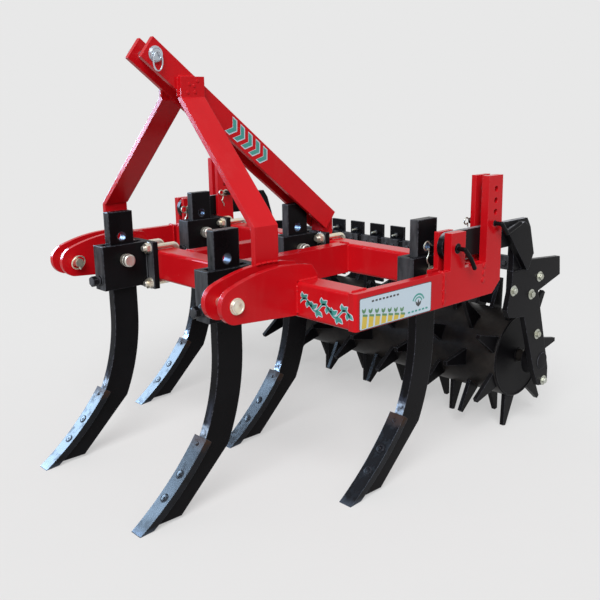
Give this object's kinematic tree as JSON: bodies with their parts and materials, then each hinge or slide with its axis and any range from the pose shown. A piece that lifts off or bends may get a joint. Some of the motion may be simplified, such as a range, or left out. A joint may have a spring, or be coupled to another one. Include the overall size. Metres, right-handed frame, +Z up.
{
  "type": "chisel plough",
  "caption": "Tractor-mounted chisel plough: red box-section frame with a three-point hitch, curved black shanks with wearing points, and a toothed packer roller on depth-set arms.",
  "frame": {"origin": "centre of the bounding box at ground level, between the points of the front shanks and the rear teeth of the roller", "axes": "+X to the machine's left, +Y to its rear, +Z up; it travels towards -Y"},
  "size_m": [1.434, 1.6654, 1.318],
  "materials": {
    "frame_red": "gloss red enamel",
    "tool_black": "satin black enamel",
    "share_steel": "gloss black enamel on forged steel",
    "zinc_plate": "yellowish zinc plating"
  },
  "bodies": {
    "frame": {"front_beam": "frame_red", "hitch_clevis_left": "frame_red", "hitch_clevis_right": "frame_red", "hitch_pin_left": "zinc_plate", "hitch_pin_right": "zinc_plate", "inner_bar_left": "frame_red", "inner_bar_right": "frame_red", "mast_beam": "frame_red", "mast_foot": "frame_red", "mast_leg_left": "frame_red", "mast_leg_right": "frame_red", "rear_beam": "frame_red", "shank_1": "tool_black", "shank_2": "tool_black", "shank_3": "tool_black", "shank_4": "tool_black", "shank_5": "tool_black", "shank_bolts_1": "zinc_plate", "shank_bolts_2": "zinc_plate", "shank_bolts_3": "zinc_plate", "shank_bolts_4": "zinc_plate", "shank_bolts_5": "zinc_plate", "shank_holder_1": "tool_black", "shank_holder_2": "tool_black", "shank_holder_3": "tool_black", "shank_holder_4": "tool_black", "shank_holder_5": "tool_black", "shank_point_1": "share_steel", "shank_point_2": "share_steel", "shank_point_3": "share_steel", "shank_point_4": "share_steel", "shank_point_5": "share_steel", "side_bar_left": "frame_red", "side_bar_right": "frame_red", "tail_pins_left": "tool_black", "tail_pins_right": "tool_black", "tail_plates_left": "frame_red", "tail_plates_right": "frame_red", "top_link_pin": "zinc_plate"},
    "roller_frame": {"arm_gusset_left": "tool_black", "arm_gusset_right": "tool_black", "roller_arm_left": "tool_black", "roller_arm_right": "tool_black", "roller_side_plate_left": "tool_black", "roller_side_plate_right": "tool_black", "scraper_bar": "tool_black", "scrapers": "tool_black"},
    "roller": {"roller_drum": "tool_black", "roller_teeth": "tool_black"}
  },
  "joints": [
    {"name": "roller_arm_pivot", "type": "hinge", "parent": "frame", "child": "roller_frame", "pos_m": [0, 0.02665, 0.724], "axis": [1, 0, 0], "range_deg": [-6, 0]},
    {"name": "roller_spin", "type": "hinge", "parent": "roller_frame", "child": "roller", "pos_m": [0, 0.57265, 0.25504], "axis": [1, 0, 0], "continuous": true}
  ]
}
